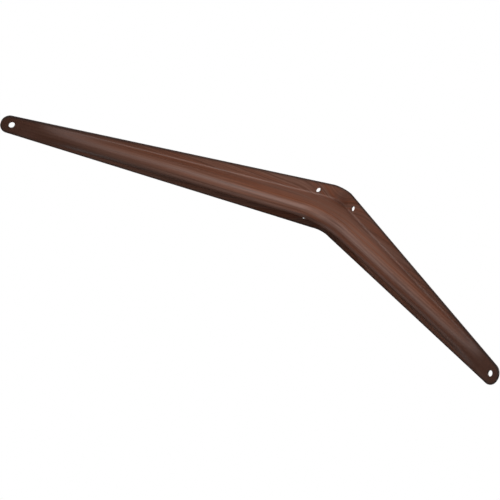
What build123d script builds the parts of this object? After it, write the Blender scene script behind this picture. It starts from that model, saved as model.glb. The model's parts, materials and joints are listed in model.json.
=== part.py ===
from build123d import *
from math import asin, atan, atan2, cos, pi, sin, sqrt, tan
import os

# Pressed sheet-steel shelf bracket in one piece, in millimetres.
# The shelf arm runs along +X with its flat seat up. The wall arm runs down -Z with its flat
# back at x = 0. The origin lies on the wall, midway between the wall arm's two upper screw
# holes, and y = 0 is the mirror plane. The hollow rib stands on the inside of the L.

# Sheet and bend
sheet = 0.9
bend_inside_radius = 8.8

# Blank, measured from the outer corner of the L
shelf_arm_length = 200.0
wall_arm_length = 250.0
corner_width = 35.0
shelf_tip_width = 11.8
wall_tip_width = 10.4
shelf_tip_corner_radius = 5.6
wall_tip_corner_radius = 4.8

# Rib: each depth is above the inside face of the sheet, where the arm's crest line would
# meet the outer corner of the L
shelf_rib_depth = 24.8
wall_rib_depth = 22.5
shelf_rib_end_to_tip = 15.0
wall_rib_end_to_tip = 20.0
rib_corner_foot_width = 18.0
shelf_rib_tip_foot_width = 12.0
wall_rib_tip_foot_width = 11.6
rib_crown_radius = 5.5
rib_foot_radius = 1.4
rib_crest_corner_radius = 25.0

# Screw holes
tip_hole_diameter = 3.7
corner_hole_diameter = 3.5
shelf_tip_hole_to_end = 6.5
wall_tip_hole_to_end = 6.7
corner_hole_spacing = 21.5
shelf_corner_hole_distance = 18.9
wall_corner_hole_distance = 20.5

# Values of the construction
bend_outside_radius = bend_inside_radius + sheet
seat_height = wall_corner_hole_distance
skin_overlap = 0.08
flat_height = skin_overlap / 100
rib_fullness = 0.93
back_relief = 2.0
corner_sections = 16
arm_sections = 6
first_station_share = 1 / 3
curve_spans = 3

# Where the rib's straight crests and the arc between them lie, seen from the side and
# measured from the outer corner of the L
shelf_rib_reach = shelf_arm_length - shelf_rib_end_to_tip
wall_rib_reach = wall_arm_length - wall_rib_end_to_tip
shelf_crest_slope = shelf_rib_depth / shelf_rib_reach
wall_crest_slope = wall_rib_depth / wall_rib_reach
shelf_crest_tilt = atan(shelf_crest_slope)
wall_crest_tilt = atan(wall_crest_slope)
shelf_crest_start = sheet + shelf_rib_depth
wall_crest_start = sheet + wall_rib_depth
shelf_crest_offset = shelf_crest_start + rib_crest_corner_radius / cos(shelf_crest_tilt)
wall_crest_offset = wall_crest_start + rib_crest_corner_radius / cos(wall_crest_tilt)
slope_product = shelf_crest_slope * wall_crest_slope
pivot_x = (wall_crest_offset - wall_crest_slope * shelf_crest_offset) / (1 - slope_product)
pivot_z = shelf_crest_slope * pivot_x - shelf_crest_offset


def reach_to_face(angle, depth):
    """Distance from the pivot to the L's outer face, moved inwards by this depth."""
    ray_x = -sin(angle)
    ray_z = cos(angle)
    bend = bend_outside_radius
    to_shelf = (-depth - pivot_z) / ray_z
    if pivot_x + to_shelf * ray_x >= bend:
        return to_shelf
    to_wall = (depth - pivot_x) / ray_x
    if pivot_z + to_wall * ray_z <= -bend:
        return to_wall
    from_x = pivot_x - bend
    from_z = pivot_z + bend
    along = from_x * ray_x + from_z * ray_z
    return -along + sqrt(along**2 - from_x**2 - from_z**2 + (bend - depth) ** 2)


def side_angle(half_foot, height, crown, foot):
    """Slope of the rib's side where a foot arc, a straight side and a crown arc add up."""
    rise = height - crown - foot
    return atan2(rise, half_foot) + asin((crown + foot) / sqrt(half_foot**2 + rise**2))


def skin(half_foot, height, base, crown, foot):
    """Half of one skin of the rib, from foot to crest, as control points of arc, side and arc."""
    if height < flat_height:
        crown_share = rib_fullness * half_foot * crown / (crown + foot)
        foot_share = rib_fullness * half_foot * foot / (crown + foot)
        thirds = [k / curve_spans for k in range(curve_spans + 1)]
        marks = [half_foot - foot_share * third for third in thirds]
        marks += [crown_share * (1 - third) for third in thirds]
        return [(mark, base) for mark in marks]
    angle = side_angle(half_foot, height, crown, foot)
    handle = 4 / 3 * tan(angle / 4)
    along = (cos(angle), sin(angle))
    foot_end = (half_foot - foot * sin(angle), base + foot * (1 - cos(angle)))
    crown_end = (crown * sin(angle), base + height - crown * (1 - cos(angle)))
    return [
        (half_foot, base),
        (half_foot - handle * foot, base),
        (foot_end[0] + handle * foot * along[0], foot_end[1] - handle * foot * along[1]),
        foot_end,
        crown_end,
        (crown_end[0] - handle * crown * along[0], crown_end[1] + handle * crown * along[1]),
        (handle * crown, base + height),
        (0, base + height),
    ]


def rib_section(plane, half_foot, height, base, crown, foot, floor):
    """Closed section of the rib: its skin above a flat floor. Local y is the depth."""
    half = skin(half_foot, height, base, crown, foot)
    other = [(-x, y) for x, y in half]
    with BuildSketch(plane) as section:
        with BuildLine():
            Line((-half_foot, floor), (half_foot, floor))
            Line((half_foot, floor), half[0])
            Bezier(*half[0:4])
            Line(half[3], half[4])
            Bezier(*half[4:8])
            Bezier(*other[7:3:-1])
            Line(other[4], other[3])
            Bezier(*other[3::-1])
            Line(other[0], (-half_foot, floor))
        make_face()
    return section.sketch.face()


def radii(half_foot, height):
    """Crown and foot radii at this height, smaller where there is no room for the full ones."""
    if height < flat_height:
        return rib_crown_radius, rib_foot_radius
    full = rib_crown_radius + rib_foot_radius
    share = rib_fullness * (half_foot**2 + height**2) / (2 * height) / full
    if height > half_foot:
        share = min(share, 1)
    return rib_crown_radius * share, rib_foot_radius * share


def outer_section(plane, half_foot, face_depth, crest_depth):
    """The rib as the eye sees it from inside the L, from the sheet's middle up to the crest."""
    base = face_depth - skin_overlap
    height = crest_depth - base
    crown, foot = radii(half_foot, height)
    return rib_section(plane, half_foot, height, base, crown, foot, face_depth / 2)


def hollow_section(plane, half_foot, face_depth, crest_depth):
    """The hollow behind the rib, one sheet thickness inside it and open at the back."""
    height = crest_depth - sheet + skin_overlap
    crown, foot = radii(half_foot, crest_depth - face_depth + skin_overlap)
    return rib_section(
        plane, half_foot, height, -skin_overlap, crown - sheet, foot + sheet, -back_relief
    )


def arm_stations(pivot_distance, reach, slope):
    """Distances along an arm from the rib's end back to the corner, evenly spaced."""
    last = reach + skin_overlap / slope
    first = pivot_distance + rib_crest_corner_radius * first_station_share
    step = (last - first) / arm_sections
    return [last - step * k for k in range(arm_sections + 1)]


def foot_half(distance, reach, tip_foot_width):
    """Half of the rib's width at its foot, tapering evenly from the corner to the rib's end."""
    share = distance / reach
    return (rib_corner_foot_width + (tip_foot_width - rib_corner_foot_width) * share) / 2


def rib_sections(make_section):
    """Sections from the shelf tip, round the corner, to the wall tip."""
    sections = []
    for distance in arm_stations(pivot_x, shelf_rib_reach, shelf_crest_slope):
        origin = (distance, 0, seat_height)
        plane = Plane(origin=origin, x_dir=(0, 1, 0), z_dir=(-1, 0, 0))
        half = foot_half(distance, shelf_rib_reach, shelf_rib_tip_foot_width)
        crest = max(shelf_crest_start - shelf_crest_slope * distance, sheet - skin_overlap)
        sections.append(make_section(plane, half, sheet, crest))
    swing = pi / 2 - shelf_crest_tilt - wall_crest_tilt
    shelf_half = foot_half(pivot_x, shelf_rib_reach, shelf_rib_tip_foot_width)
    wall_half = foot_half(-pivot_z, wall_rib_reach, wall_rib_tip_foot_width)
    for k in range(corner_sections + 1):
        share = k / corner_sections
        angle = shelf_crest_tilt + swing * share
        reach = reach_to_face(angle, 0)
        origin = (pivot_x - sin(angle) * reach, 0, seat_height + pivot_z + cos(angle) * reach)
        plane = Plane(origin=origin, x_dir=(0, 1, 0), z_dir=(-cos(angle), 0, -sin(angle)))
        half = shelf_half + (wall_half - shelf_half) * share
        half += (rib_corner_foot_width / 2 - half) * sin(pi * share)
        face_depth = reach - reach_to_face(angle, sheet)
        crest = reach - rib_crest_corner_radius
        sections.append(make_section(plane, half, face_depth, crest))
    for distance in reversed(arm_stations(-pivot_z, wall_rib_reach, wall_crest_slope)):
        origin = (0, 0, seat_height - distance)
        plane = Plane(origin=origin, x_dir=(0, 1, 0), z_dir=(0, 0, -1))
        half = foot_half(distance, wall_rib_reach, wall_rib_tip_foot_width)
        crest = max(wall_crest_start - wall_crest_slope * distance, sheet - skin_overlap)
        sections.append(make_section(plane, half, sheet, crest))
    return sections


def arm_blank(length, tip_width):
    """Corners of a tapered arm, as distance from the corner and place across."""
    start = bend_outside_radius
    corner = corner_width / 2
    tip = tip_width / 2
    return [(start, corner), (length, tip), (length, -tip), (start, -corner)]


with BuildPart() as bracket:
    # Shelf arm's flat sheet
    shelf_plane = Plane.XY.offset(seat_height)
    with BuildSketch(shelf_plane) as shelf_arm:
        with BuildLine():
            Polyline(*arm_blank(shelf_arm_length, shelf_tip_width), close=True)
        make_face()
        fillet(shelf_arm.vertices().group_by(Axis.X)[-1], shelf_tip_corner_radius)
    extrude(amount=-sheet)

    # Wall arm's flat sheet
    wall_plane = Plane(origin=(0, 0, seat_height), x_dir=(0, 0, -1), z_dir=(1, 0, 0))
    with BuildSketch(wall_plane) as wall_arm:
        with BuildLine():
            Polyline(*arm_blank(wall_arm_length, wall_tip_width), close=True)
        make_face()
        fillet(wall_arm.vertices().group_by(Axis.X)[-1], wall_tip_corner_radius)
    extrude(amount=sheet)

    # Bend between the two arms
    side_plane = Plane(origin=(0, corner_width / 2, seat_height), x_dir=(1, 0, 0), z_dir=(0, -1, 0))
    with BuildSketch(side_plane):
        with BuildLine():
            bend_centre = (bend_outside_radius, -bend_outside_radius)
            CenterArc(bend_centre, bend_outside_radius, 90, 90)
            Line((0, -bend_outside_radius), (sheet, -bend_outside_radius))
            CenterArc(bend_centre, bend_inside_radius, 90, 90)
            Line((bend_outside_radius, -sheet), (bend_outside_radius, 0))
        make_face()
    extrude(amount=corner_width)

    # Rib pressed out of the sheet, then the hollow behind it
    loft(sections=rib_sections(outer_section))
    loft(sections=rib_sections(hollow_section), mode=Mode.SUBTRACT)

    # Screw hole near each tip
    with Locations(shelf_plane):
        with Locations((shelf_arm_length - shelf_tip_hole_to_end, 0, 0)):
            Hole(tip_hole_diameter / 2, depth=2 * sheet)
    with Locations(wall_plane):
        with Locations((wall_arm_length - wall_tip_hole_to_end, 0, 0)):
            Hole(tip_hole_diameter / 2, depth=2 * sheet)

    # Two screw holes on each arm beside the corner, one each side of the rib
    with Locations(shelf_plane):
        with Locations((shelf_corner_hole_distance, 0, 0)):
            with GridLocations(1, corner_hole_spacing, 1, 2):
                Hole(corner_hole_diameter / 2, depth=2 * sheet)
    with Locations(wall_plane):
        with Locations((wall_corner_hole_distance, 0, 0)):
            with GridLocations(1, corner_hole_spacing, 1, 2):
                Hole(corner_hole_diameter / 2, depth=2 * sheet)

os.makedirs("parts", exist_ok=True)
bracket.part.label = "bracket"
export_step(bracket.part, "parts/bracket.step")
print("volume", round(bracket.part.volume, 1), "valid", bracket.part.is_valid)
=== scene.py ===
import json
from math import pi

import bpy
from mathutils import Matrix, Vector

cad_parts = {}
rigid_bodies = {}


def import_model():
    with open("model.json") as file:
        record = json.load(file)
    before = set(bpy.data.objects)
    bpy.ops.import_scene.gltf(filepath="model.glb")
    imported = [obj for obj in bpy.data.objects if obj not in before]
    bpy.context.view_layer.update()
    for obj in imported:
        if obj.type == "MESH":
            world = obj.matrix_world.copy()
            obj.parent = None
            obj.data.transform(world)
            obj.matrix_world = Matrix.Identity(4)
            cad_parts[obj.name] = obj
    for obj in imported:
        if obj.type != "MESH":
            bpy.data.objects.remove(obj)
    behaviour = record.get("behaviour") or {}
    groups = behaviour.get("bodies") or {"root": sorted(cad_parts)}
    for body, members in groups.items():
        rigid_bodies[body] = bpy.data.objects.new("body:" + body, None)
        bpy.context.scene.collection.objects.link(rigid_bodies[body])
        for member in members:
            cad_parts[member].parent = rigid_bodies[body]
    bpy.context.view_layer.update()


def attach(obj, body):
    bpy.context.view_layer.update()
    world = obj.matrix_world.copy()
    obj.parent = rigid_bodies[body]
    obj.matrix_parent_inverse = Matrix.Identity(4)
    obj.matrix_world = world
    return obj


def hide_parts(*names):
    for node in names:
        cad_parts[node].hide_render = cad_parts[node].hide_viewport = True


# Sizes of the pressed bracket, in metres, measured from the outer corner of the L
SIZES = {
    "Sheet": 0.0009,
    "Bend Radius": 0.0097,
    "Shelf Arm Length": 0.2,
    "Wall Arm Length": 0.25,
    "Corner Width": 0.035,
    "Shelf Tip Width": 0.0118,
    "Wall Tip Width": 0.0104,
    "Shelf Tip Corner": 0.0056,
    "Wall Tip Corner": 0.0048,
    "Shelf Rib Depth": 0.0248,
    "Wall Rib Depth": 0.0225,
    "Shelf Rib Reach": 0.185,
    "Wall Rib Reach": 0.23,
    "Corner Foot Width": 0.018,
    "Shelf Foot Width": 0.012,
    "Wall Foot Width": 0.0116,
    "Crown Radius": 0.0055,
    "Foot Radius": 0.0014,
    "Crest Corner Radius": 0.025,
    "Edge Radius": 0.00018,
    "Seat Height": 0.0205,
    "Tip Hole Radius": 0.00185,
    "Corner Hole Radius": 0.00175,
    "Shelf Tip Hole Distance": 0.1935,
    "Wall Tip Hole Distance": 0.2433,
    "Shelf Corner Hole Distance": 0.0189,
    "Wall Corner Hole Distance": 0.0205,
    "Corner Hole Spacing": 0.0215,
}

# How much of the room for its radii the rib fills, and how much of the width its foot may take
RIB_FULLNESS = 0.93
FOOT_SHARE_OF_WIDTH = 0.95

# Small limits that keep the sums in range, the weld distance, and a hole cutter's depth in sheets
LEAST_RIB_HEIGHT = 0.00005
LEAST_DIVISOR = 0.0001
LEAST_SIDE_SINE = 0.001
WELD_DISTANCE = 0.000001
CUTTER_SHEETS = 3.0

# Steps of the sheet's mesh, along the L and round its section
TIP_STEPS = 14
WALL_STEPS = 90
SHELF_STEPS = 80
CORNER_STEPS = 170
LAST_STATION = 2 * TIP_STEPS + WALL_STEPS + CORNER_STEPS + SHELF_STEPS
CROWN_STEPS = 14
SIDE_STEPS = 3
FOOT_STEPS = 7
FLANGE_STEPS = 6
EDGE_STEPS = 3
FACE_STEPS = CROWN_STEPS + SIDE_STEPS + FOOT_STEPS + FLANGE_STEPS
HALF_RING = 2 * (FACE_STEPS + EDGE_STEPS) + 1
HOLE_SIDES = 56
SHARP_ANGLE = 0.7

# Camera, found from the bracket's outline
CAMERA_PLACE = (0.57656, -0.21645, -0.45199)
CAMERA_RIGHT = Vector((0.404286, -0.421702, 0.811616))
CAMERA_UP = Vector((-0.513038, -0.839180, -0.180467))
CAMERA_LENS = 79.2
CAMERA_SENSOR = 36
CAMERA_CLIP = (0.01, 50)

# Lamps: the direction each one stands in, its power in watts and its distance from the centre
LAMP_CENTRE = Vector((0.02, 0.0, -0.02))
LAMPS = {
    "key": ((0.65, -0.65, 0.38), 1.0, 0.33),
    "low_back": ((-0.41, -0.41, -0.82), 0.39, 0.33),
    "front": ((0.30, -0.82, -0.48), 0.3, 0.33),
    "back": ((-0.79, -0.61, -0.12), 0.32, 0.33),
    "far_side": ((-0.17, 0.92, -0.35), 0.18, 0.33),
    "top": ((0.49, -0.31, 0.82), 0.16, 0.33),
    "low": ((-0.10, -0.20, -0.97), 0.16, 0.33),
    "far_top": ((0.40, 0.80, 0.35), 0.18, 0.33),
    "corner": ((0.70, -0.25, -0.67), 0.17, 0.2),
}
LAMP_SHARE_OF_DISTANCE = 0.6

# Floor
FLOOR_HEIGHT = -0.4
FLOOR_HALF_SIZE = 4.0
FLOOR_GREY = 0.8
FLOOR_ROUGHNESS = 0.8
FLOOR_GLOW = 0.35

# Printed coat: its colours, and the darker rim along the sheet's edges, in metres
COAT_COLOURS = {
    "Dark": (0.057, 0.019, 0.0095, 1),
    "Red": (0.137, 0.047, 0.0243, 1),
    "Grey": (0.139, 0.067, 0.0465, 1),
}
COAT_SPECULAR = 0.28
EDGE_COLOUR = (0.017, 0.01, 0.008, 1)
RIM_WIDTH = 0.0016
RIM_DARKNESS = 0.85

# Grain: features per metre along and across, layer, detail, roughness and distortion of each noise
BANDS = ((5.0, 200.0), 0.0, 2.0, 0.5, 0.3)
STREAKS = ((14.0, 1000.0), 4.0, 3.0, 0.6, 0.0)
PORES = ((90.0, 3200.0), 9.0, 2.0, 0.5, 0.0)

# Grain: the parts of each noise that show, how strongly, and the coat's roughness and relief
GREY_BANDS = (0.36, 0.58)
DARK_STREAKS = (0.34, 0.58)
PORE_DASHES = (0.58, 0.7)
STREAK_DARKNESS = 0.8
PORE_DARKNESS = 0.6
GRAIN_ROUGHNESS = (0.45, 0.55)
PORE_DEPTH = 0.5
BUMP_STRENGTH = 0.05
BUMP_DISTANCE = 0.0001

# Painted shade for the light falling off towards both tips: distances from the corner on the shelf arm,
# and the scale from the wall arm to them
TIP_PAINTED_SHADE = (0.06, 0.2)
TIP_PAINTED_SHADE_DARKNESS = 0.85
WALL_SCALE = 0.85


def wire(tree, node_kind, inputs=(), **settings):
    """Adds one node, sets its settings and joins or sets its inputs."""
    node = tree.nodes.new(node_kind)
    for name, value in settings.items():
        setattr(node, name, value)
    for socket, value in dict(inputs).items():
        if isinstance(value, Amount):
            value = value.socket
        if isinstance(value, bpy.types.NodeSocket):
            tree.links.new(value, node.inputs[socket])
        else:
            node.inputs[socket].default_value = value
    return node


class Amount:
    """A number that a node tree works out, for plain arithmetic."""

    def __init__(self, tree, socket):
        self.tree = tree
        self.socket = socket

    def made(self, operation, *values):
        """Adds one math node."""
        node = wire(self.tree, "ShaderNodeMath", dict(enumerate(values)), operation=operation)
        return Amount(self.tree, node.outputs[0])

    def __add__(self, other):
        return self.made("ADD", self, other)

    def __sub__(self, other):
        return self.made("SUBTRACT", self, other)

    def __rsub__(self, other):
        return self.made("SUBTRACT", other, self)

    def __mul__(self, other):
        return self.made("MULTIPLY", self, other)

    def __rmul__(self, other):
        return self.made("MULTIPLY", other, self)

    def __truediv__(self, other):
        return self.made("DIVIDE", self, other)

    def __neg__(self):
        return self.made("MULTIPLY", self, -1.0)

    def below(self, other):
        return self.made("LESS_THAN", self, other)

    def at_least(self, other):
        return self.made("MAXIMUM", self, other)

    def at_most(self, other):
        return self.made("MINIMUM", self, other)

    def share(self):
        """Keeps the number between 0 and 1."""
        return self.at_least(0.0).at_most(1.0)

    def eased(self):
        """Makes a share start and end gently."""
        return self * self * (3.0 - 2.0 * self)

    def floor(self):
        return self.made("FLOOR", self)

    def sin(self):
        return self.made("SINE", self)

    def cos(self):
        return self.made("COSINE", self)

    def arcsin(self):
        return self.made("ARCSINE", self)

    def arctan(self):
        return self.made("ARCTANGENT", self)

    def root(self):
        return self.made("SQRT", self.at_least(0.0))


def chosen(condition, yes, no):
    """One value where the condition is 1, the other where it is 0."""
    return condition * (yes - no) + no


def mixed(share, first, second):
    """Goes from the first value to the second with the share."""
    return first + (second - first) * share


def corner_layout(size):
    """The crests' slopes and tilts, and the centre that the crest turns about."""
    shelf_slope = size["Shelf Rib Depth"] / size["Shelf Rib Reach"]
    wall_slope = size["Wall Rib Depth"] / size["Wall Rib Reach"]
    shelf_tilt = shelf_slope.arctan()
    wall_tilt = wall_slope.arctan()
    arc = size["Crest Corner Radius"]
    shelf_offset = size["Sheet"] + size["Shelf Rib Depth"] + arc / shelf_tilt.cos()
    wall_offset = size["Sheet"] + size["Wall Rib Depth"] + arc / wall_tilt.cos()
    pivot_x = (wall_offset - wall_slope * shelf_offset) / (1.0 - shelf_slope * wall_slope)
    pivot_z = shelf_slope * pivot_x - shelf_offset
    return shelf_slope, wall_slope, shelf_tilt, wall_tilt, pivot_x, pivot_z


def reach_to_face(size, pivot, ray, depth):
    """Distance from the pivot to the L's outer face, moved inwards by this depth."""
    pivot_x, pivot_z = pivot
    ray_x, ray_z = ray
    bend = size["Bend Radius"]
    to_shelf = (-pivot_z - depth) / ray_z.at_least(LEAST_DIVISOR)
    to_wall = (pivot_x - depth) / (-ray_x).at_least(LEAST_DIVISOR)
    straight = to_shelf.at_most(to_wall)
    beside_wall = (pivot_x + ray_x * straight).below(bend)
    beside_shelf = (-pivot_z - ray_z * straight).below(bend)
    from_x = pivot_x - bend
    from_z = pivot_z + bend
    along = from_x * ray_x + from_z * ray_z
    inside = (bend - depth) * (bend - depth) - from_x * from_x - from_z * from_z
    curved = (along * along + inside).root() - along
    return chosen(beside_wall * beside_shelf, curved, straight)


def sheet_places(tree, size, row, column):
    """Each point's place, its place on the flat printed blank, and its distance from the edge."""
    shelf_slope, wall_slope, shelf_tilt, wall_tilt, pivot_x, pivot_z = corner_layout(size)
    quarter = pi / 2
    sheet = size["Sheet"]
    bend = size["Bend Radius"]
    arc = size["Crest Corner Radius"]

    # Share of the way along each tip, each arm and the corner
    station = (row - 1.0).at_least(0.0).at_most(LAST_STATION)
    in_cap = row.below(0.5) + (LAST_STATION + 1.5 - row).below(0.0)
    wall_tip_turn = (1.0 - (station / TIP_STEPS).share()) * quarter
    wall_share = 1.0 - ((station - TIP_STEPS) / WALL_STEPS).share()
    turn_share = ((station - (TIP_STEPS + WALL_STEPS)) / CORNER_STEPS).share()
    shelf_start = TIP_STEPS + WALL_STEPS + CORNER_STEPS
    shelf_share = ((station - shelf_start) / SHELF_STEPS).share()
    shelf_tip_turn = ((station - (shelf_start + SHELF_STEPS)) / TIP_STEPS).share() * quarter
    shelf_run = size["Shelf Arm Length"] - size["Shelf Tip Corner"] - pivot_x
    wall_run = size["Wall Arm Length"] - size["Wall Tip Corner"] + pivot_z
    past_shelf = shelf_share * shelf_run + shelf_tip_turn.sin() * size["Shelf Tip Corner"]
    past_wall = wall_share * wall_run + wall_tip_turn.sin() * size["Wall Tip Corner"]

    # Rays fan out from the pivot round the corner, and stay square to the arms beyond it
    angle = (1.0 - turn_share) * quarter
    ray_x = -angle.sin()
    ray_z = angle.cos()
    outer = reach_to_face(size, (pivot_x, pivot_z), (ray_x, ray_z), 0.0)
    base = outer - reach_to_face(size, (pivot_x, pivot_z), (ray_x, ray_z), sheet)

    # Half width of the blank at the station
    half_corner = size["Corner Width"] / 2.0
    shelf_taper = (half_corner - size["Shelf Tip Width"] / 2.0) / (size["Shelf Arm Length"] - bend)
    wall_taper = (half_corner - size["Wall Tip Width"] / 2.0) / (size["Wall Arm Length"] - bend)
    face_x = pivot_x + past_shelf + ray_x * outer
    face_z = pivot_z - past_wall + ray_z * outer
    half_width = (
        half_corner
        - (face_x - bend).at_least(0.0) * shelf_taper
        - (-face_z - bend).at_least(0.0) * wall_taper
        - size["Shelf Tip Corner"] * (1.0 - shelf_tip_turn.cos())
        - size["Wall Tip Corner"] * (1.0 - wall_tip_turn.cos())
    )

    # Rib at the station: its height, foot, radii and the slope of its side
    off_crest = (shelf_tilt - angle).at_least(wall_tilt - turn_share * quarter).at_least(0.0)
    crest = outer - arc / off_crest.cos() - past_shelf * shelf_slope - past_wall * wall_slope
    height = (crest - base).at_least(LEAST_RIB_HEIGHT)
    raised = ((crest - base) / LEAST_RIB_HEIGHT).share()
    corner_foot = size["Corner Foot Width"] / 2.0
    shelf_foot_share = (pivot_x + past_shelf) / size["Shelf Rib Reach"]
    wall_foot_share = (past_wall - pivot_z) / size["Wall Rib Reach"]
    shelf_foot = mixed(shelf_foot_share, corner_foot, size["Shelf Foot Width"] / 2.0)
    wall_foot = mixed(wall_foot_share, corner_foot, size["Wall Foot Width"] / 2.0)
    swing = ((angle - shelf_tilt) / (quarter - shelf_tilt - wall_tilt)).share()
    foot_half = mixed(swing, shelf_foot, wall_foot)
    foot_half = mixed((swing * pi).sin(), foot_half, corner_foot)
    foot_half = foot_half.at_most(half_width * FOOT_SHARE_OF_WIDTH)
    full = size["Crown Radius"] + size["Foot Radius"]
    room = RIB_FULLNESS * (foot_half * foot_half + height * height) / (2.0 * height) / full
    radius_share = chosen(foot_half.below(height), room.at_most(1.0), room)
    crown = size["Crown Radius"] * radius_share
    foot = size["Foot Radius"] * radius_share
    rise = height - crown - foot
    slant = (foot_half * foot_half + rise * rise).root()
    side_angle = rise.made("ARCTAN2", rise, foot_half) + ((crown + foot) / slant).arcsin()

    # Round the section: crown, side, foot, flange and edge, then the same behind
    right = column.below(HALF_RING + 0.5)
    step = chosen(right, column, 2.0 * HALF_RING - column)
    hand = right * 2.0 - 1.0
    behind = (FACE_STEPS + EDGE_STEPS + 0.5 - step).below(0.0)
    out_step = chosen(behind, HALF_RING - step, step)
    crown_share = (out_step / CROWN_STEPS).share()
    side_share = ((out_step - CROWN_STEPS) / SIDE_STEPS).share().eased()
    foot_start = CROWN_STEPS + SIDE_STEPS
    foot_share = ((out_step - foot_start) / FOOT_STEPS).share()
    flange_share = ((out_step - (foot_start + FOOT_STEPS)) / FLANGE_STEPS).share().eased()
    edge_turn = ((out_step - FACE_STEPS) / EDGE_STEPS).share() * quarter
    crown_turn = side_angle * crown_share
    foot_turn = side_angle * (1.0 - foot_share)
    crown_here = crown - behind * sheet
    foot_here = foot + behind * base
    crown_y = crown_here * crown_turn.sin()
    crown_rise = height - crown + crown_here * crown_turn.cos()
    foot_y = foot_half - foot_here * foot_turn.sin()
    foot_rise = foot - foot_here * foot_turn.cos()
    profile_y = mixed(side_share, crown_y, foot_y)
    profile_rise = mixed(side_share, crown_rise, foot_rise)
    flat_rise = -(behind * base)
    edge = size["Edge Radius"]
    inset = edge - edge * edge_turn.sin()
    drop = edge - edge * edge_turn.cos()
    depth = base + mixed(raised, flat_rise, profile_rise) + drop * (behind * 2.0 - 1.0)
    outline = half_width - inset * shelf_tip_turn.cos() * wall_tip_turn.cos()
    place_y = mixed(flange_share, profile_y, outline)

    # Place of the point, and of the middle of each tip's end face
    stay = 1.0 - in_cap
    depth = mixed(in_cap, depth, sheet / 2.0)
    inset = inset * stay
    place_x = pivot_x + past_shelf - inset * shelf_tip_turn.sin() + ray_x * (outer - depth)
    place_z = pivot_z - past_wall + inset * wall_tip_turn.sin() + ray_z * (outer - depth)
    place = wire(
        tree,
        "ShaderNodeCombineXYZ",
        {0: place_x, 1: place_y * hand * stay, 2: place_z + size["Seat Height"]},
    )

    # Place on the flat blank: along both arms, and across them over the rib's skin
    side_rise = height - (crown + foot) * (1.0 - side_angle.cos())
    side_run = side_rise / side_angle.sin().at_least(LEAST_SIDE_SINE)
    across = (
        crown * crown_turn
        + side_run * side_share * raised
        + foot * side_angle * foot_share
        + (outline - foot_half) * flange_share
    )
    corner_run = (pivot_x - pivot_z) * (turn_share - 0.5)
    along = past_shelf - past_wall + corner_run
    blank = wire(tree, "ShaderNodeCombineXYZ", {0: along, 1: across * hand * stay})
    from_edge = (outline - place_y).at_least(0.0)
    return place.outputs[0], blank.outputs[0], from_edge


def screw_holes(tree, size):
    """One cutter for each of the six screw holes."""
    seat = size["Seat Height"]
    sheet = size["Sheet"]
    apart = size["Corner Hole Spacing"] / 2.0
    shelf_z = seat - sheet / 2.0
    wall_x = sheet / 2.0
    upright = (0.0, 0.0, 0.0)
    lying = (0.0, pi / 2, 0.0)
    places = (
        ("Tip Hole Radius", size["Shelf Tip Hole Distance"], 0.0, shelf_z, upright),
        ("Tip Hole Radius", wall_x, 0.0, seat - size["Wall Tip Hole Distance"], lying),
        ("Corner Hole Radius", size["Shelf Corner Hole Distance"], apart, shelf_z, upright),
        ("Corner Hole Radius", size["Shelf Corner Hole Distance"], -apart, shelf_z, upright),
        ("Corner Hole Radius", wall_x, apart, seat - size["Wall Corner Hole Distance"], lying),
        ("Corner Hole Radius", wall_x, -apart, seat - size["Wall Corner Hole Distance"], lying),
    )
    cutters = tree.nodes.new("GeometryNodeJoinGeometry")
    for radius, x, y, z, turn in places:
        pin = wire(
            tree,
            "GeometryNodeMeshCylinder",
            {"Vertices": HOLE_SIDES, "Radius": size[radius], "Depth": sheet * CUTTER_SHEETS},
        )
        centre = wire(tree, "ShaderNodeCombineXYZ", {0: x, 1: y, 2: z})
        moved = wire(
            tree,
            "GeometryNodeTransform",
            {"Geometry": pin.outputs["Mesh"], "Translation": centre.outputs[0], "Rotation": turn},
        )
        tree.links.new(moved.outputs[0], cutters.inputs[0])
    walls = wire(
        tree,
        "GeometryNodeStoreNamedAttribute",
        {"Geometry": cutters.outputs[0], "Name": "from_edge", "Value": 0.0},
        data_type="FLOAT",
        domain="CORNER",
    )
    return walls.outputs[0]


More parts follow.
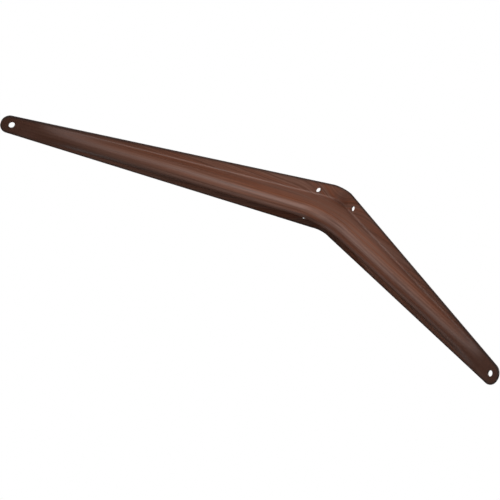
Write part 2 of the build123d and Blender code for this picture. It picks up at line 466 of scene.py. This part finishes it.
def bracket_tree():
    """The pressed sheet as one closed skin, with its screw holes cut."""
    tree = bpy.data.node_groups.new("pressed_bracket", "GeometryNodeTree")
    for name, value in SIZES.items():
        socket = tree.interface.new_socket(name, in_out="INPUT", socket_type="NodeSocketFloat")
        socket.default_value = value
    tree.interface.new_socket("Finish", in_out="INPUT", socket_type="NodeSocketMaterial")
    tree.interface.new_socket("Geometry", in_out="OUTPUT", socket_type="NodeSocketGeometry")
    entry = tree.nodes.new("NodeGroupInput")
    ending = tree.nodes.new("NodeGroupOutput")
    size = {name: Amount(tree, entry.outputs[name]) for name in SIZES}

    # A row for each station and one for each end face, and a column that closes the section
    rows = LAST_STATION + 3
    columns = 2 * HALF_RING + 1
    grid = wire(tree, "GeometryNodeMeshGrid", {"Vertices X": rows, "Vertices Y": columns})
    index = Amount(tree, tree.nodes.new("GeometryNodeInputIndex").outputs[0])
    row = ((index + 0.5) / columns).floor()
    column = index - row * columns
    place, blank, from_edge = sheet_places(tree, size, row, column)
    on_points = wire(
        tree, "GeometryNodeFieldOnDomain", {0: blank}, data_type="FLOAT_VECTOR", domain="POINT"
    )
    printed = wire(
        tree,
        "GeometryNodeStoreNamedAttribute",
        {"Geometry": grid.outputs["Mesh"], "Name": "blank_place", "Value": on_points.outputs[0]},
        data_type="FLOAT2",
        domain="CORNER",
    )
    edge_points = wire(
        tree, "GeometryNodeFieldOnDomain", {0: from_edge}, data_type="FLOAT", domain="POINT"
    )
    edged = wire(
        tree,
        "GeometryNodeStoreNamedAttribute",
        {"Geometry": printed.outputs[0], "Name": "from_edge", "Value": edge_points.outputs[0]},
        data_type="FLOAT",
        domain="CORNER",
    )
    pressed = wire(tree, "GeometryNodeSetPosition", {"Geometry": edged.outputs[0], "Position": place})
    closed = wire(
        tree, "GeometryNodeMergeByDistance", {"Geometry": pressed.outputs[0], "Distance": WELD_DISTANCE}
    )
    drilled = wire(
        tree,
        "GeometryNodeMeshBoolean",
        {"Mesh 1": closed.outputs[0], "Mesh 2": screw_holes(tree, size)},
        operation="DIFFERENCE",
        solver="MANIFOLD",
    )
    rounded = wire(
        tree, "GeometryNodeSetShadeSmooth", {"Geometry": drilled.outputs[0], "Shade Smooth": True}
    )
    fold = Amount(tree, tree.nodes.new("GeometryNodeInputMeshEdgeAngle").outputs["Unsigned Angle"])
    creased = wire(
        tree,
        "GeometryNodeSetShadeSmooth",
        {
            "Geometry": rounded.outputs[0],
            "Selection": (SHARP_ANGLE - fold).below(0.0),
            "Shade Smooth": False,
        },
        domain="EDGE",
    )
    realised = wire(tree, "GeometryNodeRealizeInstances", {"Geometry": creased.outputs[0]})
    finished = wire(
        tree,
        "GeometryNodeSetMaterial",
        {"Geometry": realised.outputs[0], "Material": entry.outputs["Finish"]},
    )
    tree.links.new(finished.outputs[0], ending.inputs[0])
    return tree


def bracket_piece(finish):
    """Makes the bracket from its node tree and keeps it as a plain mesh."""
    tree = bracket_tree()
    maker = bpy.data.objects.new("bracket_maker", bpy.data.meshes.new("bracket_maker"))
    bpy.context.scene.collection.objects.link(maker)
    modifier = maker.modifiers.new("pressed_bracket", "NODES")
    modifier.node_group = tree
    values = dict(SIZES, Finish=finish)
    for item in tree.interface.items_tree:
        if item.in_out == "INPUT":
            modifier[item.identifier] = values[item.name]
    shaped = maker.evaluated_get(bpy.context.evaluated_depsgraph_get())
    mesh = bpy.data.meshes.new_from_object(shaped)
    bpy.data.objects.remove(maker)
    mesh.name = "pressed_bracket"
    piece = bpy.data.objects.new("pressed_bracket", mesh)
    bpy.context.scene.collection.objects.link(piece)
    return piece


def mix_colours(tree, factor, first, second):
    """Goes from the first colour to the second with the factor."""
    node = wire(tree, "ShaderNodeMix", {0: factor, 6: first, 7: second}, data_type="RGBA")
    return node.outputs[2]


def ramp(tree, value, low, high):
    """Goes from 0 to 1 while the value goes from low to high."""
    node = wire(tree, "ShaderNodeMapRange", {0: value, 1: low, 2: high, 3: 0.0, 4: 1.0}, clamp=True)
    return Amount(tree, node.outputs[0])


def grain_noise(tree, along, across, per_metre, layer, detail, roughness, distortion):
    """Noise drawn out lengthwise on the blank."""
    place = wire(
        tree, "ShaderNodeCombineXYZ", {0: along * per_metre[0], 1: across * per_metre[1], 2: layer}
    )
    node = wire(
        tree,
        "ShaderNodeTexNoise",
        {
            "Vector": place.outputs[0],
            "Scale": 1.0,
            "Detail": detail,
            "Roughness": roughness,
            "Distortion": distortion,
        },
    )
    return Amount(tree, node.outputs["Fac"])


def grain_and_tip_shade_group():
    """Printed walnut grain that runs lengthwise on the blank, so it follows each arm and the rib, with
    painted shade darkening both tips where the light falls off.
    """
    tree = bpy.data.node_groups.new("printed_walnut_grain_and_painted_tip_shade", "ShaderNodeTree")
    tree.interface.new_socket("Blank Place", in_out="INPUT", socket_type="NodeSocketVector")
    for name, colour in COAT_COLOURS.items():
        socket = tree.interface.new_socket(name, in_out="INPUT", socket_type="NodeSocketColor")
        socket.default_value = colour
    tree.interface.new_socket("Colour", in_out="OUTPUT", socket_type="NodeSocketColor")
    tree.interface.new_socket("Roughness", in_out="OUTPUT", socket_type="NodeSocketFloat")
    tree.interface.new_socket("Height", in_out="OUTPUT", socket_type="NodeSocketFloat")
    entry = tree.nodes.new("NodeGroupInput")
    ending = tree.nodes.new("NodeGroupOutput")
    split = wire(tree, "ShaderNodeSeparateXYZ", {0: entry.outputs["Blank Place"]})
    along = Amount(tree, split.outputs["X"])
    across = Amount(tree, split.outputs["Y"])
    bands = grain_noise(tree, along, across, *BANDS)
    streaks = grain_noise(tree, along, across, *STREAKS)
    pores = grain_noise(tree, along, across, *PORES)

    hue = mix_colours(tree, ramp(tree, bands, *GREY_BANDS), entry.outputs["Red"], entry.outputs["Grey"])
    dark = (1.0 - ramp(tree, streaks, *DARK_STREAKS)) * STREAK_DARKNESS
    dashes = ramp(tree, pores, *PORE_DASHES)
    colour = mix_colours(tree, dark.at_least(dashes * PORE_DARKNESS), hue, entry.outputs["Dark"])
    # Painted shade: the colour darkens towards both tips, where the light falls off
    painted_tip_shade = ramp(tree, along.at_least(along * -WALL_SCALE), *TIP_PAINTED_SHADE)
    colour = mix_colours(tree, painted_tip_shade * TIP_PAINTED_SHADE_DARKNESS, colour, entry.outputs["Dark"])
    smooth, rough = GRAIN_ROUGHNESS
    tree.links.new(colour, ending.inputs["Colour"])
    tree.links.new((streaks * (rough - smooth) + smooth).socket, ending.inputs["Roughness"])
    tree.links.new((streaks - dashes * PORE_DEPTH).socket, ending.inputs["Height"])
    return tree


def coat_material():
    """The printed coat, dark along the edges of the sheet, with painted shade towards both tips."""
    material = bpy.data.materials.new("printed_walnut_coat")
    material.use_nodes = True
    tree = material.node_tree
    shader = tree.nodes["Principled BSDF"]
    place = wire(tree, "ShaderNodeUVMap", uv_map="blank_place")
    grain = wire(tree, "ShaderNodeGroup", node_tree=grain_and_tip_shade_group())
    tree.links.new(place.outputs[0], grain.inputs["Blank Place"])
    from_edge = wire(tree, "ShaderNodeAttribute", attribute_name="from_edge").outputs["Fac"]
    rim = ramp(tree, from_edge, RIM_WIDTH, 0.0)
    colour = mix_colours(tree, rim * RIM_DARKNESS, grain.outputs["Colour"], EDGE_COLOUR)
    tree.links.new(colour, shader.inputs["Base Color"])
    tree.links.new(grain.outputs["Roughness"], shader.inputs["Roughness"])
    bump = wire(
        tree,
        "ShaderNodeBump",
        {"Height": grain.outputs["Height"], "Strength": BUMP_STRENGTH, "Distance": BUMP_DISTANCE},
    )
    tree.links.new(bump.outputs[0], shader.inputs["Normal"])
    shader.inputs["Specular IOR Level"].default_value = COAT_SPECULAR
    return material


def lamps():
    """Round lamps that all point at the centre and stay out of the camera's sight."""
    for name, (direction, power, distance) in LAMPS.items():
        data = bpy.data.lights.new(name, "AREA")
        data.shape = "DISK"
        data.size = LAMP_SHARE_OF_DISTANCE * distance
        data.energy = power
        light = bpy.data.objects.new(name, data)
        bpy.context.scene.collection.objects.link(light)
        towards = Vector(direction).normalized()
        light.location = LAMP_CENTRE + towards * distance
        light.rotation_mode = "QUATERNION"
        light.rotation_quaternion = (-towards).to_track_quat("-Z", "Y")
        light.visible_camera = False


def world():
    """White to the camera and through transmission, with no light of its own on the bracket."""
    made = bpy.data.worlds.new("white_surround")
    bpy.context.scene.world = made
    made.use_nodes = True
    tree = made.node_tree
    background = tree.nodes["Background"]
    path = wire(tree, "ShaderNodeLightPath")
    seen = wire(
        tree,
        "ShaderNodeMath",
        {0: path.outputs["Is Camera Ray"], 1: path.outputs["Is Transmission Ray"]},
        operation="MAXIMUM",
    ).outputs[0]
    background.inputs["Color"].default_value = (1, 1, 1, 1)
    tree.links.new(seen, background.inputs["Strength"])


def floor():
    """Pale floor that only the camera sees, from above, so lamps under it reach the bracket."""
    half = FLOOR_HALF_SIZE
    low = FLOOR_HEIGHT
    corners = [(-half, -half, low), (half, -half, low), (half, half, low), (-half, half, low)]
    mesh = bpy.data.meshes.new("floor")
    mesh.from_pydata(corners, [], [(0, 1, 2, 3)])
    piece = bpy.data.objects.new("floor", mesh)
    bpy.context.scene.collection.objects.link(piece)
    material = bpy.data.materials.new("pale_floor")
    material.use_nodes = True
    tree = material.node_tree
    shader = tree.nodes["Principled BSDF"]
    shader.inputs["Base Color"].default_value = (FLOOR_GREY, FLOOR_GREY, FLOOR_GREY, 1)
    shader.inputs["Roughness"].default_value = FLOOR_ROUGHNESS
    shader.inputs["Emission Color"].default_value = (1, 1, 1, 1)
    shader.inputs["Emission Strength"].default_value = FLOOR_GLOW
    under = wire(tree, "ShaderNodeNewGeometry").outputs["Backfacing"]
    clear = wire(tree, "ShaderNodeBsdfTransparent")
    either = wire(tree, "ShaderNodeMixShader", {0: under, 1: shader.outputs[0], 2: clear.outputs[0]})
    tree.links.new(either.outputs[0], tree.nodes["Material Output"].inputs["Surface"])
    mesh.materials.append(material)
    piece.visible_diffuse = False
    piece.visible_glossy = False
    piece.visible_shadow = False


def camera():
    """The photograph's camera."""
    data = bpy.data.cameras.new("camera")
    data.lens = CAMERA_LENS
    data.sensor_width = CAMERA_SENSOR
    data.clip_start, data.clip_end = CAMERA_CLIP
    piece = bpy.data.objects.new("camera", data)
    bpy.context.scene.collection.objects.link(piece)
    back = CAMERA_RIGHT.cross(CAMERA_UP)
    turn = Matrix((CAMERA_RIGHT, CAMERA_UP, back)).transposed().to_4x4()
    piece.matrix_world = Matrix.Translation(CAMERA_PLACE) @ turn
    bpy.context.scene.camera = piece


for leftover in list(bpy.data.objects):
    bpy.data.objects.remove(leftover)

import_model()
bracket = bracket_piece(coat_material())
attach(bracket, "root")
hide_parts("bracket")

world()
floor()
camera()
lamps()

bpy.context.scene.view_settings.view_transform = "Standard"
